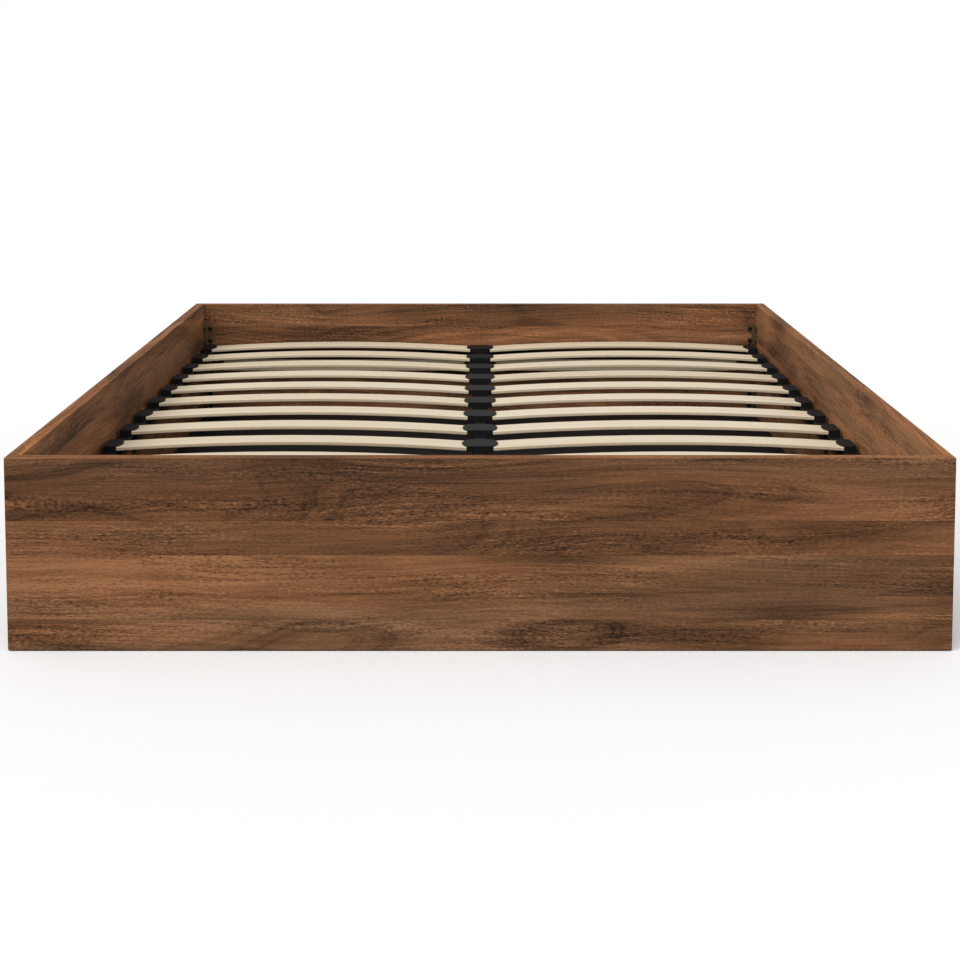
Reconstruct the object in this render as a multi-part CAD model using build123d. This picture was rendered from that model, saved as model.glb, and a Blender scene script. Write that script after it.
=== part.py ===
from build123d import *
from math import asin, degrees
import os

os.makedirs("parts", exist_ok=True)

# Platform bed for a 1600 x 2000 mm mattress: a low box of walnut-faced boards, a steel frame
# with sprung slats inside it, an open storage bay under the head half, and one side drawer on
# each side under the foot half. Millimetres; X across, +Y towards the head end, +Z up.
# The origin is on the floor, at the middle of the footprint. Left is -X, right is +X.

# ---- driving dimensions ---------------------------------------------------------------------
MATTRESS_W, MATTRESS_L = 1600, 2000
MATTRESS_PLAY = 5  # between the mattress and each board
BOARD = 25  # thickness of the outer boards
BED_H = 345  # floor to the top edge of the boards
EDGE_R, CARCASS_R = 1.0, 0.6  # eased edges of the outer boards, and of the inner ones
OVERLAP = 1  # how far a joined-on or cut-out shape runs past the face that it meets

GLIDE_H, GLIDE_D, BASE_GLIDE_D = 2, 15, 30  # nail-on glides under the boards and the bay's floor
END_GLIDE_XS, SIDE_GLIDE_YS, DIVIDER_GLIDE_XS = (-780, -260, 260, 780), (0, 470, 940), (-500, 0, 500)
BASE_GLIDE_XS, BASE_GLIDE_YS = (-520, 0, 520), (120, 480, 840)

SPLIT_Z = 180  # joint between the upper and the lower side boards
DIVIDER_Y = -62  # front face of the divider, where the drawer opening ends
DIVIDER_T, DIVIDER_TOP = 16, 125
BASE_T, BASE_TOP = 16, 22
CARCASS_PLAY = 0.5  # at the ends of the divider and round the bay's floor

RAIL_W, RAIL_H, RAIL_WALL, RAIL_R = 30, 25, 1.5, 2.0  # steel tube of the slat frame
RAIL_TOP = 215
FRAME_PLAY = 5  # between the end rails and the end boards
RAIL_PLAY = 7  # between the side rails and the side boards
CAP_T, CAP_PLUG_L, PLUG_PLAY = 2, 12, 0.3  # plugs in the tubes' ends, and their play all round
BATTEN_T, BATTEN_H, BATTEN_L, BATTEN_START, BATTEN_R = 30, 35, 700, 45, 1.5

ROWS, ROW_PITCH, FIRST_ROW_Y = 12, 164.3, 958.0  # the first row is the one at the head
SLAT_W, SLAT_T, SLAT_BOW, SLAT_EDGE_R = 68, 8, 12.7, 1.8
HOLDER_L, HOLDER_TOP = 70, 228
HOLDER_FLOOR, HOLDER_LIP = 2.0, 2.1
HOLDER_R, HOLDER_TOP_R = 3, 0.8
LOBE_SETBACK = 2  # from the ends of the block to the ends of its lobes
CLIP_HALF, CLIP_T, CLIP_DROP, CLIP_PLAY = 11, 2, 10, 0.2  # clip legs that grip the tube
CENTRE_HALF, CENTRE_LOBE = 27, 38.5  # half width of the block, and reach of its lobes
SIDE_IN, SIDE_OUT, SIDE_LOBE = 772, 797, 761  # X of the side holder's block and lobe
SLAT_END_GAP = 1.5

LEG_D, LEG_WALL, LEG_PLATE_T, LEG_PLATE_L = 30, 1.5, 3, 90
LEG_YS = (-533, 480)
LEG_FOOT_D, LEG_FOOT_H, LEG_PLUG = 40, 4, 15

BRACKET_T, BRACKET_H, BRACKET_STRIP = 2.5, 58, 13  # angle strip in a corner, 13 mm each way
BRACKET_LEG, BRACKET_EAR, BRACKET_EAR_R = 25, 9, 4  # reach, half height and corners of its ears
BRACKET_HOLE_FROM_CORNER, BRACKET_HOLE_PITCH = 18, 36
UPPER_BRACKET_Z, LOWER_BRACKET_Z = 256.5, 65.0
SCREW_HEAD_D, SCREW_HEAD_H, SCREW_SHANK_D, SCREW_HOLE_D = 12, 3, 5, 5.4
SCREW_HEAD_R, SCREW_SOCKET_R, SCREW_SOCKET_DEPTH = 1.4, 2.5, 1.6
MID_BRACKET_T, MID_BRACKET_L, MID_BRACKET_BOTTOM, MID_BRACKET_REACH = 3, 60, 126, 40
MID_BRACKET_Y = DIVIDER_Y + 1  # its end nearest the foot
MID_HOLE_RISE, MID_HOLE_PITCH = 18, 36

DRAWER_GAP = 3  # round the drawer front
FRONT_BOTTOM = 10
BOX_T, BOX_BOTTOM_Z, BOX_TOP_Z = 15, 32, 138
BOX_BACK_X = 155
PANEL_T, PANEL_Z, GROOVE_D, GROOVE_PLAY = 5, 44, 6, 0.2
NOTCH_W, NOTCH_DEPTH, NOTCH_R = 160, 22, 14  # hand notch in the front's top edge

RUNNER_L, RUNNER_DEPTH, RUNNER_Z, RUNNER_STEEL = 600, 12.7, 80, 1.2
RUNNER_SETBACK = 10  # from the drawer front's inner face to the runners' front end
# Reach from the carcass face, and half height, of a runner's three members.
FIXED_REACH, FIXED_HALF, FIXED_LIP = (0, 9.0), 22.5, 1.6
MIDDLE_REACH, MIDDLE_HALF = (2.4, 10.6), 17.6
SLIDER_REACH, SLIDER_HALF = (4.8, RUNNER_DEPTH), 13.6

# ---- derived places -------------------------------------------------------------------------
IN_X = MATTRESS_W / 2 + MATTRESS_PLAY  # inner face of the side boards
IN_Y = MATTRESS_L / 2 + MATTRESS_PLAY  # inner face of the end boards
OUT_X, OUT_Y = IN_X + BOARD, IN_Y + BOARD
RAIL_BOTTOM = RAIL_TOP - RAIL_H
RAIL_OUT_X = IN_X - RAIL_PLAY
RAIL_IN_X = RAIL_OUT_X - RAIL_W
FRAME_END_Y = IN_Y - FRAME_PLAY
DIVIDER_BACK = DIVIDER_Y + DIVIDER_T
HOLDER_BASE = RAIL_TOP + HOLDER_FLOOR
ROW_YS = [FIRST_ROW_Y - ROW_PITCH * row for row in range(ROWS)]
SIDES = {"left": -1, "right": 1}


# ---- helpers --------------------------------------------------------------------------------
def block(x, y, z):
    """A plain box between two values on each axis, each given as a (low, high) pair."""
    low = [min(pair) for pair in (x, y, z)]
    high = [max(pair) for pair in (x, y, z)]
    size = [b - a for a, b in zip(low, high)]
    return Pos(*[(a + b) / 2 for a, b in zip(low, high)]) * Box(*size)


def board(x, y, z, radius=EDGE_R):
    """A board with all its edges eased."""
    plain = block(x, y, z)
    return fillet(plain.edges(), radius)


def mirrored(shape):
    """The same piece for the other side of the bed."""
    return mirror(shape, about=Plane.YZ)


def for_side(shape, side):
    """A piece modelled on the right, at +X, brought to the named side."""
    return shape if SIDES[side] > 0 else mirrored(shape)


def save(name, shapes):
    """Write one node. A group of like pieces stays a group of separate solids."""
    solids = [solid for shape in shapes for solid in shape.solids()]
    whole = solids[0] if len(solids) == 1 else Compound(solids)
    export_step(whole, f"parts/{name}.step")


# ---- outer boards ---------------------------------------------------------------------------
def end_board(sign):
    """Foot or head board: it runs the full width and covers the ends of the side boards."""
    return board((-OUT_X, OUT_X), (sign * IN_Y, sign * OUT_Y), (GLIDE_H, BED_H))


def upper_side_board():
    """Side rail board over the whole length, from the drawer's top edge up."""
    return board((IN_X, OUT_X), (-IN_Y, IN_Y), (SPLIT_Z, BED_H))


def lower_side_board():
    """Lower side board, which closes the storage bay under the head half."""
    return board((IN_X, OUT_X), (DIVIDER_Y, IN_Y), (GLIDE_H, SPLIT_Z))


def divider():
    """Low cross board between the drawers and the storage bay."""
    half = IN_X - CARCASS_PLAY
    return board((-half, half), (DIVIDER_Y, DIVIDER_BACK), (GLIDE_H, DIVIDER_TOP), CARCASS_R)


def base_board():
    """Floor of the storage bay."""
    half = IN_X - CARCASS_PLAY
    y = (DIVIDER_BACK + CARCASS_PLAY, IN_Y - CARCASS_PLAY)
    return board((-half, half), y, (BASE_TOP - BASE_T, BASE_TOP), CARCASS_R)


def glides():
    """Nail-on glides under the end boards, the lower side boards and the divider."""
    end_y = IN_Y + BOARD / 2
    places = [(x, sign * end_y) for sign in (-1, 1) for x in END_GLIDE_XS]
    side_x = IN_X + BOARD / 2
    places += [(sign * side_x, y) for sign in (-1, 1) for y in SIDE_GLIDE_YS]
    places += [(x, DIVIDER_Y + DIVIDER_T / 2) for x in DIVIDER_GLIDE_XS]
    return [Pos(x, y, GLIDE_H / 2) * Cylinder(GLIDE_D / 2, GLIDE_H) for x, y in places]


def base_glides():
    """Taller glides that carry the floor of the storage bay."""
    height = BASE_TOP - BASE_T
    places = [(x, y) for x in BASE_GLIDE_XS for y in BASE_GLIDE_YS]
    return [Pos(x, y, height / 2) * Cylinder(BASE_GLIDE_D / 2, height) for x, y in places]


# ---- steel slat frame -----------------------------------------------------------------------
def tube(x, y, axis):
    """Rectangular steel tube along X or Y, open at its ends."""
    z = (RAIL_BOTTOM, RAIL_TOP)
    outer = block(x, y, z)
    along = Axis.X if axis == "x" else Axis.Y
    outer = fillet(outer.edges().filter_by(along), RAIL_R)
    wall, past = RAIL_WALL, OVERLAP
    inner_z = (z[0] + wall, z[1] - wall)
    if axis == "x":
        return outer - block((x[0] - past, x[1] + past), (y[0] + wall, y[1] - wall), inner_z)
    return outer - block((x[0] + wall, x[1] - wall), (y[0] - past, y[1] + past), inner_z)


def side_rail():
    """Side tube of the slat frame, which is closed by a cap at each end."""
    half = FRAME_END_Y - CAP_T
    return tube((RAIL_IN_X, RAIL_OUT_X), (-half, half), "y")


def end_rail(sign):
    """Cross tube at one end of the frame, between the side tubes."""
    y = sorted((sign * FRAME_END_Y, sign * (FRAME_END_Y - RAIL_W)))
    return tube((-RAIL_IN_X, RAIL_IN_X), y, "x")


def centre_beam():
    """Lengthwise tube down the middle, which carries the inner ends of the slats."""
    half = FRAME_END_Y - RAIL_W
    return tube((-RAIL_W / 2, RAIL_W / 2), (-half, half), "y")


def rail_caps():
    """Plastic plugs in the ends of the side tubes."""
    caps = []
    mid_z = (RAIL_BOTTOM + RAIL_TOP) / 2
    mid_x = (RAIL_IN_X + RAIL_OUT_X) / 2
    cut = 2 * (RAIL_WALL + PLUG_PLAY)
    face_y, plug_y = FRAME_END_Y - CAP_T / 2, FRAME_END_Y - CAP_T - CAP_PLUG_L / 2
    for sx in (-1, 1):
        for sy in (-1, 1):
            face = Pos(sx * mid_x, sy * face_y, mid_z) * Box(RAIL_W, CAP_T, RAIL_H)
            plug = Box(RAIL_W - cut, CAP_PLUG_L, RAIL_H - cut)
            caps.append(face + Pos(sx * mid_x, sy * plug_y, mid_z) * plug)
    return caps


def battens(sign):
    """Two wooden battens screwed to an end board; the frame's cross tube rests on them."""
    y = (sign * (IN_Y - BATTEN_T), sign * IN_Y)
    z = (RAIL_BOTTOM - BATTEN_H, RAIL_BOTTOM)
    right = board((BATTEN_START, BATTEN_START + BATTEN_L), y, z, BATTEN_R)
    return [right, mirrored(right)]


def leg(y, floor_z):
    """Round support under the centre beam, with the plate that it is fixed by."""
    plate_low = RAIL_BOTTOM - LEG_PLATE_T
    foot_top = floor_z + LEG_FOOT_H
    height = plate_low - foot_top
    post = Pos(0, y, foot_top + height / 2) * Cylinder(LEG_D / 2, height)
    bore = Cylinder(LEG_D / 2 - LEG_WALL, height + 2 * OVERLAP)
    post -= Pos(0, y, foot_top + height / 2) * bore
    plate_y = (y - LEG_PLATE_L / 2, y + LEG_PLATE_L / 2)
    return post + block((-RAIL_W / 2, RAIL_W / 2), plate_y, (plate_low, RAIL_BOTTOM))


def leg_foot(y, floor_z):
    """Plastic foot pushed into the bottom of a leg."""
    disc = Pos(0, y, floor_z + LEG_FOOT_H / 2) * Cylinder(LEG_FOOT_D / 2, LEG_FOOT_H)
    plug_r = LEG_D / 2 - LEG_WALL - PLUG_PLAY
    plug_z = floor_z + LEG_FOOT_H + LEG_PLUG / 2
    return disc + Pos(0, y, plug_z) * Cylinder(plug_r, LEG_PLUG)


# ---- slats and their holders ----------------------------------------------------------------
def slat(y):
    """Sprung slat of bent plywood, bowed upwards between its two holders: a flat strip with
    rounded edges, turned through a short arc about an axis far below the bed."""
    x0, x1 = CENTRE_HALF + SLAT_END_GAP, SIDE_IN - SLAT_END_GAP
    half_span, mid = (x1 - x0) / 2, (x0 + x1) / 2
    radius = (half_span**2 + SLAT_BOW**2) / (2 * SLAT_BOW)
    crown = HOLDER_BASE + SLAT_T + SLAT_BOW
    half_angle = degrees(asin(half_span / radius))
    bend = Axis((mid, y, crown - radius), (0, 1, 0))
    strip = Plane.YZ * RectangleRounded(SLAT_W, SLAT_T, SLAT_EDGE_R)
    strip = Pos(mid, y, crown - SLAT_T / 2) * strip
    return revolve(strip, bend, 2 * half_angle).rotate(bend, -half_angle)


def lobe(x_base, x_tip, z):
    """Shallow round tongue of a holder, from its block out over or under the slat's end."""
    half = HOLDER_L / 2 - LOBE_SETBACK
    outline = [
        ThreePointArc((x_base, -half), (x_tip, 0), (x_base, half)),
        Line((x_base, half), (x_base, -half)),
    ]
    return Pos(0, 0, z[0]) * extrude(make_face(outline), z[1] - z[0])


def holder_block(x0, x1):
    """Body of a holder, with rounded corners and an eased top."""
    body = block((x0, x1), (-HOLDER_L / 2, HOLDER_L / 2), (RAIL_TOP, HOLDER_TOP))
    body = fillet(body.edges().filter_by(Axis.Z), HOLDER_R)
    return fillet(body.faces().sort_by(Axis.Z)[-1].edges(), HOLDER_TOP_R)


def clip(face_x, outwards):
    """Clip leg that grips the side of the tube at face_x."""
    near = face_x + outwards * CLIP_PLAY
    far = near + outwards * CLIP_T
    return block((near, far), (-CLIP_HALF, CLIP_HALF), (RAIL_TOP - CLIP_DROP, HOLDER_BASE))


def centre_holder(y):
    """Double holder on the centre beam, which takes the inner ends of one row's two slats."""
    body = holder_block(-CENTRE_HALF, CENTRE_HALF)
    for sign in (-1, 1):
        base, tip = sign * (CENTRE_HALF - OVERLAP), sign * CENTRE_LOBE
        body += lobe(base, tip, (HOLDER_TOP - HOLDER_LIP, HOLDER_TOP))
        body += lobe(base, tip, (RAIL_TOP, HOLDER_BASE))
        body += clip(sign * RAIL_W / 2, sign)
    return Pos(0, y, 0) * body


def side_holder(y):
    """Single holder on the right-hand tube."""
    body = holder_block(SIDE_IN, SIDE_OUT)
    body += lobe(SIDE_IN + OVERLAP, SIDE_LOBE, (HOLDER_TOP - HOLDER_LIP, HOLDER_TOP))
    body += lobe(SIDE_IN + OVERLAP, SIDE_LOBE, (RAIL_TOP, HOLDER_BASE))
    shelf_x = (SIDE_OUT - OVERLAP, RAIL_OUT_X + CLIP_PLAY + CLIP_T)
    body += block(shelf_x, (-CLIP_HALF, CLIP_HALF), (RAIL_TOP, HOLDER_BASE))
    body += clip(RAIL_OUT_X, 1) + clip(RAIL_IN_X, -1)
    return Pos(0, y, 0) * body


# ---- brackets and screws --------------------------------------------------------------------
def screw():
    """Pan-head screw seen from +Z: its head stands on z = 0 and its shank points down."""
    head = Pos(0, 0, SCREW_HEAD_H / 2) * Cylinder(SCREW_HEAD_D / 2, SCREW_HEAD_H)
    head = fillet(head.edges().sort_by(Axis.Z)[-1], SCREW_HEAD_R)
    hexagon = RegularPolygon(SCREW_SOCKET_R, 6)
    socket = Pos(0, 0, SCREW_HEAD_H) * extrude(hexagon, -SCREW_SOCKET_DEPTH)
    return head - socket


def bracket_leg(z_mid):
    """One leg of an angle bracket, on the plane y = 0 along -X: a strip with two drilled ears."""
    z = (z_mid - BRACKET_H / 2, z_mid + BRACKET_H / 2)
    leg = block((-BRACKET_STRIP, 0), (-BRACKET_T, 0), z)
    for z_hole in bracket_hole_zs(z_mid):
        ear_x = (-BRACKET_LEG, -BRACKET_STRIP + OVERLAP)
        ear = block(ear_x, (-BRACKET_T, 0), (z_hole - BRACKET_EAR, z_hole + BRACKET_EAR))
        leg += fillet(ear.edges().filter_by(Axis.Y).group_by(Axis.X)[0], BRACKET_EAR_R)
        drill = Rot(90, 0, 0) * Cylinder(SCREW_HOLE_D / 2, 4 * BRACKET_T)
        leg -= Pos(-BRACKET_HOLE_FROM_CORNER, 0, z_hole) * drill
    return leg


def angle_bracket(z_mid):
    """Steel angle in a corner whose board faces are the planes x = 0 and y = 0, open to -X -Y."""
    leg = bracket_leg(z_mid)
    return leg + mirrored(Rot(0, 0, 90) * leg)


def bracket_hole_zs(z_mid):
    """Heights of a bracket's two holes in each leg."""
    return (z_mid - BRACKET_HOLE_PITCH / 2, z_mid + BRACKET_HOLE_PITCH / 2)


def bracket_screws(z_mid):
    """The four screws of one angle bracket, in the same place as angle_bracket's."""
    shank = Pos(0, 0, -BRACKET_T / 2) * Cylinder(SCREW_SHANK_D / 2, BRACKET_T)
    whole = screw() + shank
    far = -BRACKET_HOLE_FROM_CORNER
    placed = []
    for z_hole in bracket_hole_zs(z_mid):
        placed.append(Pos(far, -BRACKET_T, z_hole) * Rot(90, 0, 0) * whole)
        placed.append(Pos(-BRACKET_T, far, z_hole) * Rot(0, -90, 0) * whole)
    return placed


def bracket_corners():
    """Corner of each angle bracket on the right side: (y, side it opens to, height)."""
    head, foot, bay = (IN_Y, 1), (-IN_Y, -1), (DIVIDER_BACK, -1)
    return [
        (*head, UPPER_BRACKET_Z),
        (*foot, UPPER_BRACKET_Z),
        (*head, LOWER_BRACKET_Z),
        (*bay, LOWER_BRACKET_Z),
    ]


def in_corners(make):
    """Pieces from make(z), put into every bracket corner on both sides."""
    pieces = []
    for y, opens, z_mid in bracket_corners():
        for shape in make(z_mid):
            turned = shape if opens > 0 else mirror(shape, about=Plane.XZ)
            right = Pos(IN_X, y, 0) * turned
            pieces += [right, mirrored(right)]
    return pieces


def mid_bracket():
    """Angle under the side tube at mid-length, screwed to the lower side board."""
    y = (MID_BRACKET_Y, MID_BRACKET_Y + MID_BRACKET_L)
    upright = block((IN_X - MID_BRACKET_T, IN_X), y, (MID_BRACKET_BOTTOM, RAIL_BOTTOM))
    ledge_z = (RAIL_BOTTOM - MID_BRACKET_T, RAIL_BOTTOM)
    body = upright + block((IN_X - MID_BRACKET_REACH, IN_X), y, ledge_z)
    for y_hole in mid_bracket_hole_ys():
        drill = Rot(0, 90, 0) * Cylinder(SCREW_HOLE_D / 2, 4 * MID_BRACKET_T)
        body -= Pos(IN_X, y_hole, mid_bracket_hole_z()) * drill
    return body


def mid_bracket_hole_z():
    """Height of the mid bracket's holes."""
    return MID_BRACKET_BOTTOM + MID_HOLE_RISE


def mid_bracket_hole_ys():
    """Places of the mid bracket's two holes along the bed."""
    middle = MID_BRACKET_Y + MID_BRACKET_L / 2
    return (middle - MID_HOLE_PITCH / 2, middle + MID_HOLE_PITCH / 2)


def mid_bracket_screws():
    """Screws of the right-hand mid bracket."""
    shank = Pos(0, 0, -MID_BRACKET_T / 2) * Cylinder(SCREW_SHANK_D / 2, MID_BRACKET_T)
    whole = Rot(0, -90, 0) * (screw() + shank)
    x = IN_X - MID_BRACKET_T
    return [Pos(x, y, mid_bracket_hole_z()) * whole for y in mid_bracket_hole_ys()]


# ---- drawer, modelled on the right ----------------------------------------------------------
FRONT_Y = (-IN_Y + DRAWER_GAP, DIVIDER_Y - DRAWER_GAP)
FRONT_Z = (FRONT_BOTTOM, SPLIT_Z - DRAWER_GAP)
BOX_Y = (-IN_Y + RUNNER_DEPTH, DIVIDER_Y - RUNNER_DEPTH)
INSIDE_Y = (BOX_Y[0] + BOX_T, BOX_Y[1] - BOX_T)
GROOVE_Z = (PANEL_Z - GROOVE_PLAY, PANEL_Z + PANEL_T + GROOVE_PLAY)


def drawer_front():
    """Drawer front, flush with the side boards, with a hand notch in its top edge."""
    front = block((IN_X, OUT_X), FRONT_Y, FRONT_Z)
    front = fillet(front.edges(), EDGE_R)
    middle = sum(FRONT_Y) / 2
    notch_z = (FRONT_Z[1] - NOTCH_DEPTH, FRONT_Z[1] + 2 * NOTCH_R)
    notch_y = (middle - NOTCH_W / 2, middle + NOTCH_W / 2)
    notch = block((IN_X - OVERLAP, OUT_X + OVERLAP), notch_y, notch_z)
    front -= fillet(notch.edges().filter_by(Axis.X), NOTCH_R)
    reach = GROOVE_D + GROOVE_PLAY
    groove_y = (INSIDE_Y[0] - reach, INSIDE_Y[1] + reach)
    return front - block((IN_X - OVERLAP, IN_X + reach), groove_y, GROOVE_Z)


def drawer_side(end):
    """Side of the drawer box next to the foot board (end 0) or to the divider (end 1)."""
    y = (BOX_Y[0], INSIDE_Y[0]) if end == 0 else (INSIDE_Y[1], BOX_Y[1])
    side = board((BOX_BACK_X, IN_X), y, (BOX_BOTTOM_Z, BOX_TOP_Z), CARCASS_R)
    inner, way = INSIDE_Y[end], 1 if end == 0 else -1
    groove_y = (inner - way * (GROOVE_D + GROOVE_PLAY), inner + way * OVERLAP)
    return side - block((BOX_BACK_X - OVERLAP, IN_X + OVERLAP), groove_y, GROOVE_Z)


def drawer_back():
    """Back of the drawer box, which stands on the bottom panel."""
    x = (BOX_BACK_X, BOX_BACK_X + BOX_T)
    return board(x, INSIDE_Y, (PANEL_Z + PANEL_T, BOX_TOP_Z), CARCASS_R)


def drawer_bottom():
    """Bottom panel, which slides into the grooves under the back."""
    y = (INSIDE_Y[0] - GROOVE_D, INSIDE_Y[1] + GROOVE_D)
    return block((BOX_BACK_X, IN_X + GROOVE_D), y, (PANEL_Z, PANEL_Z + PANEL_T))


# ---- ball-bearing runners, modelled on the right --------------------------------------------
def channel(u, half_h, opens, lip=0.0):
    """Rolled channel section: u is its (low, high) reach from the carcass face, opens is +1
    where it opens away from that face, and lip is how far its free edges turn inwards."""
    steel = RUNNER_STEEL
    length = (IN_X - RUNNER_SETBACK - RUNNER_L, IN_X - RUNNER_SETBACK)
    web = (u[0], u[0] + steel) if opens > 0 else (u[1] - steel, u[1])
    body = block(length, web, (-half_h, half_h))
    for sign in (-1, 1):
        body += block(length, u, (sign * (half_h - steel), sign * half_h))
        if lip:
            edge = (u[1] - steel, u[1]) if opens > 0 else (u[0], u[0] + steel)
            body += block(length, edge, (sign * (half_h - steel - lip), sign * half_h))
    return body


def runner(kind):
    """Both right-hand runners' members of one kind: on the foot board and on the divider."""
    shapes = {
        "fixed": channel(FIXED_REACH, FIXED_HALF, 1, lip=FIXED_LIP),
        "middle": channel(MIDDLE_REACH, MIDDLE_HALF, 1),
        "drawer": channel(SLIDER_REACH, SLIDER_HALF, -1),
    }
    shape = Pos(0, 0, RUNNER_Z) * shapes[kind]
    at_foot = Pos(0, -IN_Y, 0) * shape
    at_divider = Pos(0, DIVIDER_Y, 0) * mirror(shape, about=Plane.XZ)
    return [at_foot, at_divider]


# ---- write the nodes ------------------------------------------------------------------------
save("foot_panel", [end_board(-1)])
save("head_panel", [end_board(1)])
save("divider_panel", [divider()])
save("base_board", [base_board()])
save("floor_glides", glides())
save("base_glides", base_glides())

save("frame_centre_beam", [centre_beam()])
save("frame_end_rail_foot", [end_rail(-1)])
save("frame_end_rail_head", [end_rail(1)])
save("rail_end_caps", rail_caps())
save("foot_battens", battens(-1))
save("head_battens", battens(1))
LEG_FLOORS = [BASE_TOP if y > DIVIDER_Y else 0 for y in LEG_YS]
save("beam_legs", [leg(y, z) for y, z in zip(LEG_YS, LEG_FLOORS)])
save("leg_feet", [leg_foot(y, z) for y, z in zip(LEG_YS, LEG_FLOORS)])

for number, row_y in enumerate(ROW_YS, start=1):
    right_slat = slat(row_y)
    save(f"slats_row_{number:02d}", [right_slat, mirrored(right_slat)])
save("centre_holders", [centre_holder(y) for y in ROW_YS])

save("corner_brackets", in_corners(lambda z: [angle_bracket(z)]))
screws = in_corners(bracket_screws)
for right_screw in mid_bracket_screws():
    screws += [right_screw, mirrored(right_screw)]
save("bracket_screws", screws)
save("mid_brackets", [mid_bracket(), mirrored(mid_bracket())])

for side in SIDES:
    save(f"side_panel_upper_{side}", [for_side(upper_side_board(), side)])
    save(f"side_panel_lower_{side}", [for_side(lower_side_board(), side)])
    save(f"frame_side_rail_{side}", [for_side(side_rail(), side)])
    save(f"side_holders_{side}", [for_side(side_holder(y), side) for y in ROW_YS])
    save(f"drawer_{side}_front", [for_side(drawer_front(), side)])
    save(f"drawer_{side}_side_foot", [for_side(drawer_side(0), side)])
    save(f"drawer_{side}_side_head", [for_side(drawer_side(1), side)])
    save(f"drawer_{side}_back", [for_side(drawer_back(), side)])
    save(f"drawer_{side}_bottom", [for_side(drawer_bottom(), side)])
    for kind in ("fixed", "middle", "drawer"):
        save(f"runners_{side}_{kind}", [for_side(piece, side) for piece in runner(kind)])
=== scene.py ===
import bpy
import math
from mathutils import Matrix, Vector


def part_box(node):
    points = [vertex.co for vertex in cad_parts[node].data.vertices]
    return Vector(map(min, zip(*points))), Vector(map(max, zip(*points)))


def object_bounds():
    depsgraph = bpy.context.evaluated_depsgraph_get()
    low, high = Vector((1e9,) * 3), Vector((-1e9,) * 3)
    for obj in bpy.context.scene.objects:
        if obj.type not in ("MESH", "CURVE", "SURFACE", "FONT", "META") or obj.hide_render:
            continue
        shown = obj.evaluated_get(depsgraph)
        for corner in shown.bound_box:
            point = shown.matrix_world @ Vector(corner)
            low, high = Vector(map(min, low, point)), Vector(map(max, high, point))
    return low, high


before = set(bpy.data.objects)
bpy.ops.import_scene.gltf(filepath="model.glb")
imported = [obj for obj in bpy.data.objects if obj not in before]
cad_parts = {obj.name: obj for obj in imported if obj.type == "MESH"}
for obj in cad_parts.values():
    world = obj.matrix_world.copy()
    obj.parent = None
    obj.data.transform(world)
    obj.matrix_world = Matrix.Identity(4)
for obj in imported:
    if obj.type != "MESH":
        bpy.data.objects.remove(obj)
cad_low, cad_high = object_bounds()

# ---- Studio ---------------------------------------------------------------------------------
# White paper floor under a pale dome, with one very broad soft light high up in front and a
# little to the left. The camera stands back from the foot end, about a metre up, and looks
# slightly down.

FLOOR_HALF = 60.0
WHITE = (1.0, 1.0, 1.0, 1.0)
PAPER_DIM, PAPER_BRIGHT = (0.955, 0.955, 0.955), (0.975, 0.975, 0.975)
DOME_LIGHT, SKY_SEEN = 0.52, 1.0  # what the dome gives, and how bright the camera sees it
KEY_POWER, KEY_SPREAD = 2.05, math.radians(60)
KEY_FROM = (-0.28, -0.50, 0.82)  # from the bed towards the soft light
CAMERA_BACK, CAMERA_HEIGHT = 2.9675, 1.0074  # from the foot board's face, and above the floor
CAMERA_DOWN = math.radians(4.773)
CAMERA_REACH = 200.0  # far enough for all of the paper
LENS, RISE = 64.86, -0.27


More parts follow.
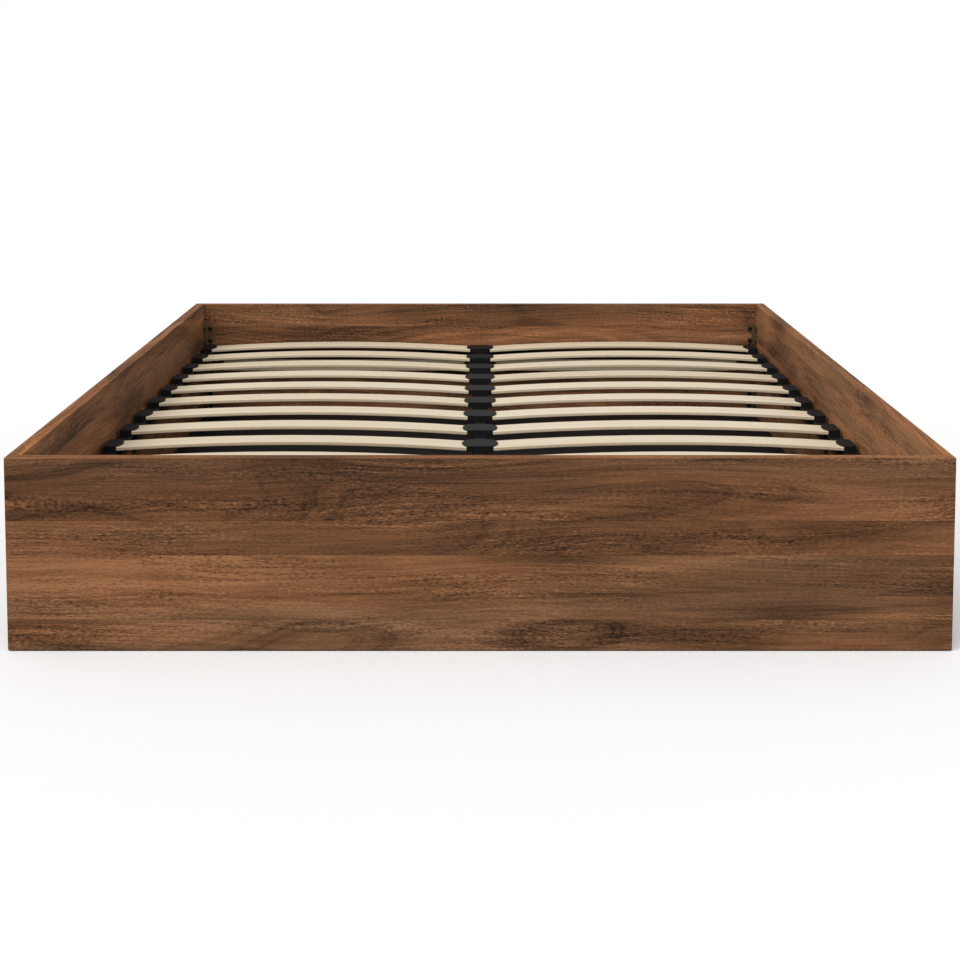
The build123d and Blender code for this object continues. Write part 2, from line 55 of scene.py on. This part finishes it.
class Value:
    """One shader socket. Arithmetic on it adds Math nodes to the same material."""

    def __init__(self, socket):
        self.socket = socket

    def node(self, kind, settings, feeds, take=0):
        """Add any other node: its settings first, then the values or links of its sockets."""
        made = self.socket.id_data.nodes.new("ShaderNode" + kind)
        for name, setting in settings.items():
            if name == "stops":
                ramp = made.color_ramp.elements
                while len(ramp) < len(setting):
                    ramp.new(1.0)
                for stop, (place, colour) in zip(ramp, setting):
                    stop.position, stop.color = place, (*colour, 1.0)
            else:
                setattr(made, name, setting)
        for name, value in feeds.items():
            if isinstance(value, Value):
                made.id_data.links.new(value.socket, made.inputs[name])
            else:
                made.inputs[name].default_value = value
        return Value(made.outputs[take])

    def maths(self, operation, *values):
        """Add a Math node that works on the given values."""
        return self.node("Math", {"operation": operation}, dict(enumerate(values)))

    def __add__(self, other):
        return self.maths("ADD", self, other)

    def __radd__(self, other):
        return self.maths("ADD", other, self)

    def __sub__(self, other):
        return self.maths("SUBTRACT", self, other)

    def __rsub__(self, other):
        return self.maths("SUBTRACT", other, self)

    def __mul__(self, other):
        return self.maths("MULTIPLY", self, other)

    def __rmul__(self, other):
        return self.maths("MULTIPLY", other, self)

    def __truediv__(self, other):
        return self.maths("DIVIDE", self, other)

    def __pow__(self, other):
        return self.maths("POWER", self, other)

    def __abs__(self):
        return self.maths("ABSOLUTE", self)

    def __gt__(self, other):
        return self.maths("GREATER_THAN", self, other)

    def whole(self):
        """The whole number at or below this."""
        return self.maths("FLOOR", self)

    def fraction(self):
        """What this has above its whole number."""
        return self.maths("FRACT", self)

    def eased(self, low, high, at_low=0.0, at_high=1.0):
        """Smooth step from at_low to at_high as this goes from low to high."""
        span = {1: low, 2: high, 3: at_low, 4: at_high}  # sockets in the node's own order
        return self.node("MapRange", {"interpolation_type": "SMOOTHSTEP"}, {0: self, **span})

    def split(self):
        """The three parts of a vector."""
        return [self.node("SeparateXYZ", {}, {0: self}, part) for part in range(3)]

    def joined(self, x, y, z):
        """A vector of three parts."""
        return self.node("CombineXYZ", {}, {0: x, 1: y, 2: z})

    def noise(self, scale, detail=2.0, roughness=0.5):
        """Cloudy noise read at this vector."""
        feeds = {"Vector": self, "Scale": scale, "Detail": detail, "Roughness": roughness}
        return self.node("TexNoise", {}, feeds)

    def stretched(self, scales):
        """This vector with each of its parts scaled."""
        return self.node("VectorMath", {"operation": "MULTIPLY"}, {0: self, 1: scales})

    def tinted(self, share, colour):
        """This colour multiplied by another one, to the given share."""
        # A Mix node's sockets: 0 is the share, 4 and 5 are its vectors, 6 and 7 its colours.
        settings = {"data_type": "RGBA", "blend_type": "MULTIPLY"}
        return self.node("Mix", settings, {0: share, 6: self, 7: (*colour, 1.0)}, 2)

    def ramp(self, *stops):
        """The colour that this value has on a ramp of places and colours."""
        return self.node("ValToRGB", {"stops": stops}, {0: self})


def finish(name, constants):
    """A new material, with the constant sockets set: its shader, and the place on the piece."""
    material = bpy.data.materials.new(name)
    material.use_nodes = True
    shader = material.node_tree.nodes["Principled BSDF"]
    for socket, value in constants.items():
        shader.inputs[socket].default_value = value
    place = material.node_tree.nodes.new("ShaderNodeTexCoord").outputs["Object"]
    return material, shader, Value(place)


def feed(shader, **values):
    """Link values to the shader's sockets, such as base_color, roughness and normal."""
    for name, value in values.items():
        shader.id_data.links.new(value.socket, shader.inputs[name.replace("_", " ").title()])


paper, paper_shader, place = finish("white_paper", {"Specular IOR Level": 0.0})
tone = place.noise(0.8, 3.0)
feed(paper_shader, base_color=tone.ramp((0.0, PAPER_DIM), (1.0, PAPER_BRIGHT)))
floor_mesh = bpy.data.meshes.new("floor")
corners = [(x * FLOOR_HALF, y * FLOOR_HALF, 0.0) for x, y in ((-1, -1), (1, -1), (1, 1), (-1, 1))]
floor_mesh.from_pydata(corners, [], [(0, 1, 2, 3)])
floor_mesh.materials.append(paper)
floor = bpy.data.objects.new("floor", floor_mesh)
bpy.context.scene.collection.objects.link(floor)
floor.visible_diffuse = False  # the paper's own bounce would flatten the foot board

world = bpy.data.worlds.new("dome")
world.use_nodes = True
bpy.context.scene.world = world
background = world.node_tree.nodes["Background"]
dome = Value(background.outputs[0])  # only a way to add nodes to the dome
seen = dome.node("LightPath", {}, {}, "Is Camera Ray")
above = dome.node("TexCoord", {}, {}, "Generated").split()[2] > 0.0
strength = above * DOME_LIGHT * (1.0 - seen) + seen * SKY_SEEN
background.inputs["Color"].default_value = WHITE
world.node_tree.links.new(strength.socket, background.inputs["Strength"])

key = bpy.data.objects.new("soft_light", bpy.data.lights.new("soft_light", "SUN"))
key.data.energy, key.data.angle = KEY_POWER, KEY_SPREAD
key.rotation_euler = Vector(KEY_FROM).to_track_quat("Z", "Y").to_euler()
bpy.context.scene.collection.objects.link(key)

camera = bpy.data.objects.new("camera", bpy.data.cameras.new("camera"))
camera.location = (0.0, cad_low.y - CAMERA_BACK, CAMERA_HEIGHT)
camera.rotation_euler = (math.pi / 2 - CAMERA_DOWN, 0.0, 0.0)
camera.data.lens, camera.data.shift_y = LENS, RISE
camera.data.clip_end = CAMERA_REACH
bpy.context.scene.collection.objects.link(camera)
bpy.context.scene.camera = camera
bpy.context.scene.view_settings.view_transform = "Standard"

# ---- Walnut boards --------------------------------------------------------------------------
# The foot and head boards, the side boards and the drawer fronts: 25 mm board faced with a
# printed walnut laminate of wide staves, its grain along each board, and edged to match.

WALNUT = (
    (0.00, (0.040, 0.026, 0.018)),
    (0.25, (0.108, 0.057, 0.034)),
    (0.50, (0.210, 0.103, 0.054)),
    (0.75, (0.345, 0.165, 0.083)),
    (1.00, (0.535, 0.273, 0.138)),
)
# Tints: smoky wood, cooler and warmer drifts, the joints, and the edging on top.
SMOKE, COOL, WARM = (0.36, 0.40, 0.42), (0.88, 0.90, 0.90), (1.07, 0.96, 0.85)
JOINT, EDGING = (0.45, 0.40, 0.36), (0.90, 0.77, 0.57)
MEAN_TONE = 0.71  # where the middle of the walnut lies on the ramp above
STAVE_SHIFT = 3.7  # how far each stave's pattern starts along from the one below it
RINGS, RING_LINES = 62.0, 230.0  # how closely the growth rings and their lines follow each other
DARK_LINES, STREAKS, HAIR_LINES, FIBRES = 120.0, 150.0, 250.0, 420.0  # the same for the grain
JOINT_WIDTH, JOINT_DARK = 0.0012, 0.35
EDGING_THICK, SEAM_WIDTH, SEAM_DARK = 0.0012, 0.0004, 0.5
PORE_DEPTH = 0.0002


def bump(height, depth, strength):
    """Surface relief of the given depth, in metres, where height goes from 0 to 1."""
    return height.node("Bump", {}, {"Height": height, "Distance": depth, "Strength": strength})


def paint(material, *names):
    """Give CAD pieces a finish."""
    for name in names:
        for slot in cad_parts[name].material_slots:
            slot.material = material


def stepped(height, edges, values):
    """The value of the stave that a height lies in: one more value than there are edges."""
    total = height * 0.0 + values[0]
    for edge, below, above in zip(edges, values, values[1:]):
        total = total + (height > edge) * (above - below)
    return total


def walnut(name, grain, edges, tones, seed, low, high):
    """Walnut laminate for one board: grain is the axis that it runs along, edges are the heights
    of the joints between its staves, tones how light each stave is, low and high its corners."""
    material, shader, place = finish(name, {"Specular IOR Level": 0.03})
    x, y, z = place.split()
    facing = place.node("TexCoord", {}, {}, "Normal").split()
    along, thick, on_end = (x, y, facing[0]) if grain == "x" else (y, x, facing[1])
    on_end = abs(on_end) > 0.6

    # Edging on a board's end runs upright, so there the grain's two directions change places.
    flat, upright = place.joined(along, z, thick), place.joined(z, thick * 1.7 + 3.0, along)
    u, v, w = flat.node("Mix", {"data_type": "VECTOR"}, {0: on_end, 4: flat, 5: upright}, 1).split()
    limits = (low.z, *edges, high.z)
    middles = [(under + over) / 2 for under, over in zip(limits, limits[1:])]
    stave = stepped(z, edges, [seed + count for count in range(len(tones))])
    chance = stave.node("TexWhiteNoise", {"noise_dimensions": "1D"}, {"W": stave}, 1)
    heart, lean, turn = chance.split()
    u = u + stave * STAVE_SHIFT

    # Knots: sparse spots that the grain swings round, some with smoky wood about them.
    field = place.joined(u * 1.7, v * 8.0 + stave * 5.3, 0.0)
    spot = {"Vector": field, "Scale": 1.0, "Randomness": 0.85}
    away = field.node("TexVoronoi", {"voronoi_dimensions": "2D"}, spot, "Distance")
    knot = field.node("TexVoronoi", {"voronoi_dimensions": "2D"}, spot, "Position")
    swing = (field.split()[1] - knot.split()[1]) * away.eased(0.0, 0.36, 1.0, 0.0)
    smoke = away.eased(0.02, 0.36, 1.0, 0.0) * knot.noise(3.0).eased(0.44, 0.56)

    # Growth rings round a heart that wanders, cut lengthwise, give the arched figure.
    wander = place.joined(u * 0.85, v * 3.0, stave * 5.0).noise(1.0, 2.0, 0.5)
    ripple = place.joined(u * 3.4, v * 12.0, stave).noise(1.0, 3.0, 0.55)
    across = v - stepped(z, edges, middles) + (heart - 0.5) * 0.18 + (wander - 0.5) * 0.16
    across = across + (ripple - 0.5) * 0.014 + swing * 0.028
    depth = 0.004 + lean * 0.02 + w * 0.6 + (wander - 0.5) * (turn - 0.5) * 0.40
    ring = (across * across + depth * depth) ** 0.5
    bands = place.joined(ring * RINGS, stave * 9.0, u * 0.4).noise(1.0, 4.0, 0.6)
    lines = place.joined(ring * RING_LINES, stave * 4.0, u * 1.1).noise(1.0, 2.0, 0.5)
    thin_line = abs(lines - 0.44).eased(0.0, 0.035, 1.0, 0.0) * bands.eased(0.42, 0.62, 1.0, 0.0)

    # Fine grain: long thin lines that tremble a little, coarser and stronger in open patches.
    open_grain = place.joined(u * 2.2, v * 18.0, stave + 7.0).noise(1.0, 2.0).eased(0.42, 0.66)
    tremor = place.joined(u * 110.0, v * 110.0, stave).noise(1.0, 2.0, 0.6) - 0.5
    run = across + w + tremor * (0.003 + 0.003 * open_grain)
    dark_line = place.joined(u * 1.5, run * DARK_LINES, stave).noise(1.0, 2.0, 0.5)
    hair_line = place.joined(u * 2.6, run * HAIR_LINES, stave + 5.0).noise(1.0, 2.0, 0.5)
    long_line = abs(dark_line - 0.5).eased(0.0, 0.022, 1.0, 0.0) * (0.3 + 0.7 * wander)
    long_line = long_line + abs(hair_line - 0.5).eased(0.0, 0.035, 0.9, 0.0)
    streak = place.joined(u * 5.0, run * STREAKS, stave).noise(1.0, 5.0, 0.8)
    fibre = place.joined(u * 130.0, run * FIBRES, stave).noise(1.0, 1.0, 0.5)
    pores = place.joined(u * 60.0, run * FIBRES, stave + 3.0).noise(1.0, 1.0, 0.5)
    pores = pores.eased(0.54, 0.62) * (0.10 + 0.90 * open_grain)
    cloud = place.joined(u * 1.3, v * 9.0, stave * 3.0 + w * 4.0).noise(1.0, 3.0, 0.5)

    tone = MEAN_TONE + stepped(z, edges, tones) + (bands - 0.5) * 1.20 + (lines - 0.5) * 0.45
    tone = tone + (streak - 0.5) * (0.9 + 1.1 * open_grain)
    tone = tone + (fibre - 0.5) * (0.5 + 0.7 * open_grain)
    tone = tone + (cloud - 0.5) * 0.75 - pores * 0.26 - thin_line * 0.14 - long_line * 0.16
    on_top = abs(facing[2]).eased(0.5, 0.8)
    tone = tone - on_top * tones[-1]  # the edging on top doesn't match the stave beside it
    colour = tone.ramp(*WALNUT).tinted(smoke * 0.8, SMOKE)
    hue = place.joined(u * 0.9, v * 10.0, stave * 1.7).noise(1.0, 2.0).eased(0.40, 0.65)
    colour = colour.tinted(hue, COOL).tinted((1.0 - hue) * 0.9, WARM).tinted(on_top, EDGING)

    # Hairline joints: between the staves, and where the edging meets the face.
    seams = [(edge, JOINT_WIDTH, JOINT_DARK) for edge in edges]
    for height in (low.z + EDGING_THICK, high.z - EDGING_THICK):
        seams.append((height, SEAM_WIDTH, SEAM_DARK))
    hairline = z * 0.0
    for height, width, dark in seams:
        hairline = hairline + abs(z - height).eased(0.0, width, dark, 0.0)
    colour = colour.tinted(hairline, JOINT)

    relief = 1.0 - pores * 0.8 + (streak - 0.5) * 0.6 + (fibre - 0.5) * 0.4 - hairline
    gloss = 0.46 + pores * 0.14 + (streak - 0.5) * 0.12 + (cloud - 0.5) * 0.10
    feed(shader, base_color=colour, roughness=gloss, normal=bump(relief, PORE_DEPTH, 0.7))
    return material


# Each board's grain axis, the heights of its joints, how light its staves are, and a seed.
BOARDS = {
    "foot_panel": ("x", (0.057, 0.1723, 0.2336), (0.05, 0.08, -0.04, -0.08), 3.0),
    "head_panel": ("x", (0.088, 0.1480, 0.2810), (-0.06, -0.12, -0.18, -0.10), 11.0),
    "side_panel_upper_left": ("y", (0.2200, 0.2950), (-0.05, 0.00, -0.08), 23.0),
    "side_panel_upper_right": ("y", (0.2410, 0.3020), (0.06, 0.02, 0.12), 37.0),
    "side_panel_lower_left": ("y", (0.0610, 0.1190), (0.03, -0.04, 0.02), 41.0),
    "side_panel_lower_right": ("y", (0.0540, 0.1320), (-0.02, 0.04, -0.03), 53.0),
    "drawer_left_front": ("y", (0.0610, 0.1190), (0.03, -0.04, 0.02), 61.0),
    "drawer_right_front": ("y", (0.0540, 0.1320), (-0.02, 0.04, -0.03), 71.0),
}
for board, about in BOARDS.items():
    paint(walnut("walnut_" + board, *about, *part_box(board)), board)

# ---- Carcass boards and drawer boxes --------------------------------------------------------
# The bay's floor and the divider are 16 mm board faced in matt black melamine. The drawer
# boxes are 15 mm board in charcoal, with a thin hardboard bottom slid into grooves.

BLACK_FACE = (0.006, 0.006, 0.0062), (0.012, 0.012, 0.0122)
CHARCOAL_FACE = (0.045, 0.043, 0.041), (0.070, 0.067, 0.063)
HARDBOARD_FACE = (0.060, 0.050, 0.042), (0.090, 0.078, 0.066)
PRESSED, FIBROUS = 0.00004, 0.00008  # depths of the two textures
DUST = (1.5, 1.5, 1.5)


def melamine(name, dark, pale, depth):
    """Melamine, or smooth hardboard: finely pressed, dusted and rubbed a little unevenly."""
    material, shader, place = finish(name, {"Specular IOR Level": 0.25})
    leather = place.noise(900.0, 3.0, 0.6)
    rubbed = place.noise(3.0, 4.0, 0.6).eased(0.35, 0.75)
    speck = place.noise(420.0, 1.0).eased(0.66, 0.74)
    colour = (rubbed * 0.7 + leather * 0.3).ramp((0.0, dark), (1.0, pale))
    colour = colour.tinted(speck * 0.3, DUST)
    gloss = 0.46 + rubbed * 0.12 + leather * 0.08
    feed(shader, base_color=colour, roughness=gloss, normal=bump(leather, depth, 0.7))
    return material


paint(melamine("black_melamine", *BLACK_FACE, PRESSED), "base_board", "divider_panel")
charcoal = melamine("charcoal_melamine", *CHARCOAL_FACE, PRESSED)
hardboard = melamine("hardboard", *HARDBOARD_FACE, FIBROUS)
for side in ("left", "right"):
    for panel in ("back", "side_foot", "side_head"):
        paint(charcoal, f"drawer_{side}_{panel}")
    paint(hardboard, f"drawer_{side}_bottom")

# ---- Slats and battens ----------------------------------------------------------------------
# Sprung slats of bent birch plywood, sanded and clear-coated, with their plies showing along
# the rounded edges, and planed softwood battens screwed to the end boards.

BIRCH = ((0.0, (0.58, 0.44, 0.28)), (0.5, (0.80, 0.67, 0.48)), (1.0, (0.92, 0.80, 0.62)))
PINE = ((0.0, (0.46, 0.33, 0.19)), (0.5, (0.66, 0.52, 0.34)), (1.0, (0.76, 0.64, 0.46)))
GLUE_LINE, DARK_PLY = (0.55, 0.44, 0.32), (0.82, 0.74, 0.64)
PLY, BOW, INNER_END = 0.0013, 0.0127, 0.0285  # a ply, a slat's rise, and where its near end is
GRAIN_DEPTH = 0.00005

slat_rows = sorted(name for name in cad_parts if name.startswith("slats_row_"))
row_low, row_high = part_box(slat_rows[0])
ROW_PITCH = row_low.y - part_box(slat_rows[1])[0].y
ROW_START = 0.69  # in pitches: puts the step from one row's number to the next between them
SLAT_MIDDLE, SLAT_HALF = (row_high.x + INNER_END) / 2, (row_high.x - INNER_END) / 2


def pale_wood(name, stops, plies, ring_scale):
    """Pale wood with its grain along X, and growth rings ring_scale to the metre; plies shows
    the glue lines of plywood on its edges."""
    material, shader, place = finish(name, {"Coat Weight": 0.12, "Coat Roughness": 0.3})
    x, y, z = place.split()
    piece = (y / ROW_PITCH + ROW_START).whole() + (x > 0.0) * 0.5
    wave = place.joined(x * 1.2, y * 4.0, piece * 3.0).noise(1.0, 2.0)
    across = y + (wave - 0.5) * 0.03
    rings = place.joined(x * 0.9, across * ring_scale, piece * 7.0).noise(1.0, 3.0, 0.55)
    fibre = place.joined(x * 9.0, across * 900.0, z * 900.0 + piece).noise(1.0, 3.0, 0.6)
    fleck = place.joined(x * 110.0, y * 700.0, piece).noise(1.0, 1.0).eased(0.62, 0.72)
    chance = piece.node("TexWhiteNoise", {"noise_dimensions": "1D"}, {"W": piece}, 0)
    tone = 0.5 + (rings - 0.5) * 0.7 + (fibre - 0.5) * 0.45 + (chance - 0.5) * 0.20
    colour = (tone - fleck * 0.16).ramp(*stops)
    relief = fibre - fleck * 0.5
    if plies:
        reach = (abs(x) - SLAT_MIDDLE) / SLAT_HALF
        level = (z - row_high.z + reach * reach * BOW) / PLY
        glue = abs(level.fraction() - 0.5).eased(0.34, 0.46)
        edge = abs(place.node("TexCoord", {}, {}, "Normal").split()[1]).eased(0.35, 0.7)
        colour = colour.tinted(glue * edge * 0.55, GLUE_LINE)
        other_ply = (level * 0.5).fraction() > 0.5
        colour = colour.tinted(edge * other_ply * 0.35, DARK_PLY)
        relief = relief - glue * edge * 0.5
    gloss = 0.40 + (fibre - 0.5) * 0.15 + fleck * 0.1
    feed(shader, base_color=colour, roughness=gloss, normal=bump(relief, GRAIN_DEPTH, 0.6))
    return material


paint(pale_wood("bent_birch_plywood", BIRCH, True, 70.0), *slat_rows)
paint(pale_wood("planed_softwood", PINE, False, 160.0), "head_battens", "foot_battens")

# ---- Slat holders, caps, feet and glides ----------------------------------------------------
# Injection-moulded black plastic with a fine spark-eroded skin: double holders clipped on the
# centre beam, single ones on the side tubes, plugs in the tube ends, feet and nail-on glides.

HOLDER_DARK, HOLDER_PALE = (0.008, 0.008, 0.0084), (0.018, 0.018, 0.0188)
GLIDE_DARK, GLIDE_PALE = (0.05, 0.05, 0.05), (0.10, 0.10, 0.10)
SKIN_SCALE, SKIN_DEPTH = 1500.0, 0.00006


def moulded(name, dark, pale):
    """Moulded plastic with a spark-eroded skin, faint flow marks and scuffs."""
    material, shader, place = finish(name, {"Specular IOR Level": 0.08})
    skin = place.noise(SKIN_SCALE, 3.0, 0.65)
    flow = place.noise(24.0, 3.0, 0.6)
    scuff = place.noise(140.0, 4.0, 0.7).eased(0.58, 0.75)
    colour = (flow * 0.6 + skin * 0.25 + scuff * 0.3).ramp((0.0, dark), (1.0, pale))
    gloss = 0.42 + skin * 0.16 + scuff * 0.12
    feed(shader, base_color=colour, roughness=gloss, normal=bump(skin, SKIN_DEPTH, 0.8))
    return material


black_plastic = moulded("black_plastic", HOLDER_DARK, HOLDER_PALE)
paint(black_plastic, "centre_holders", "side_holders_left", "side_holders_right")
paint(black_plastic, "rail_end_caps", "leg_feet")
paint(moulded("glide_plastic", GLIDE_DARK, GLIDE_PALE), "floor_glides", "base_glides")

# ---- Steel slat frame -----------------------------------------------------------------------
# Rectangular steel tubes that rest on the battens and brackets, and round legs under the
# centre beam, all powder-coated black, with the coating's slight orange peel and a little dust.

COAT_DARK, COAT_PALE = (0.004, 0.004, 0.0045), (0.010, 0.010, 0.011)
PEEL_DEPTH = 0.00008

coated, coated_shader, place = finish("black_powder_coat", {"Specular IOR Level": 0.2})
peel = place.noise(620.0, 2.0, 0.5)
dust = place.noise(18.0, 5.0, 0.65).eased(0.40, 0.80)
feed(
    coated_shader,
    base_color=(peel * 0.4 + dust * 0.6).ramp((0.0, COAT_DARK), (1.0, COAT_PALE)),
    roughness=0.34 + peel * 0.12 + dust * 0.14,
    normal=bump(peel, PEEL_DEPTH, 0.7),
)
tubes = [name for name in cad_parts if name.startswith("frame_")]
paint(coated, "beam_legs", *tubes)

# ---- Brackets and screws --------------------------------------------------------------------
# Pressed steel angles in the corners and under the side tubes, zinc-plated and passivated
# yellow to olive, held by black pan-head screws with hex sockets.

GREY_OLIVE, GOLD, GREEN_OLIVE = (0.11, 0.10, 0.06), (0.19, 0.13, 0.06), (0.14, 0.14, 0.08)
DRAWN = (900.0, 900.0, 60.0)  # marks from drawing the strip: fine across it, long upwards
BLACK_ZINC, WORN_ZINC = (0.014, 0.014, 0.015), (0.045, 0.045, 0.048)
SCRATCH_DEPTH = 0.00003

olive, olive_shader, place = finish("yellow_passivated_steel", {"Metallic": 0.6})
bloom = place.noise(38.0, 3.0, 0.6)
film = place.noise(11.0, 2.0)
drawn = place.stretched(DRAWN).noise(1.0, 2.0)
stain = bloom * 0.7 + film * 0.3
feed(
    olive_shader,
    base_color=stain.ramp((0.25, GREY_OLIVE), (0.5, GOLD), (0.75, GREEN_OLIVE)),
    roughness=0.30 + bloom * 0.18 + drawn * 0.08,
    normal=bump(drawn, SCRATCH_DEPTH, 0.6),
)
paint(olive, "corner_brackets", "mid_brackets")

zinc, zinc_shader, place = finish("black_zinc", {"Metallic": 0.6})
grit = place.noise(1200.0, 3.0, 0.6)
wear = place.noise(260.0, 3.0).eased(0.55, 0.75)
feed(
    zinc_shader,
    base_color=wear.ramp((0.0, BLACK_ZINC), (1.0, WORN_ZINC)),
    roughness=0.30 + grit * 0.2,
    normal=bump(grit, SCRATCH_DEPTH, 0.7),
)
paint(zinc, "bracket_screws")

# ---- Drawer runners -------------------------------------------------------------------------
# Cold-rolled steel channels with a bright zinc plate, three to a runner: one screwed to the
# carcass, one floating between the ball rows, and one screwed to the drawer's side.

ZINC_DIM, ZINC_BRIGHT = (0.33, 0.34, 0.35), (0.46, 0.47, 0.48)
ROLLED = (6.0, 1400.0, 1400.0)  # rolling marks, which run along the runner
ROLLED_DEPTH = 0.00003

plated, plated_shader, place = finish("bright_zinc", {"Metallic": 1.0})
rolled = place.stretched(ROLLED).noise(1.0, 3.0, 0.6)
crystals = place.node("TexVoronoi", {}, {"Vector": place, "Scale": 420.0}, "Color")
spangle = crystals.split()[0]
grease = place.noise(9.0, 4.0, 0.6).eased(0.5, 0.8)
feed(
    plated_shader,
    base_color=(rolled * 0.7 + spangle * 0.3).ramp((0.0, ZINC_DIM), (1.0, ZINC_BRIGHT)),
    roughness=0.20 + rolled * 0.10 + grease * 0.12,
    normal=bump(rolled, ROLLED_DEPTH, 0.6),
)
paint(plated, *[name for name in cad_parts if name.startswith("runners_")])
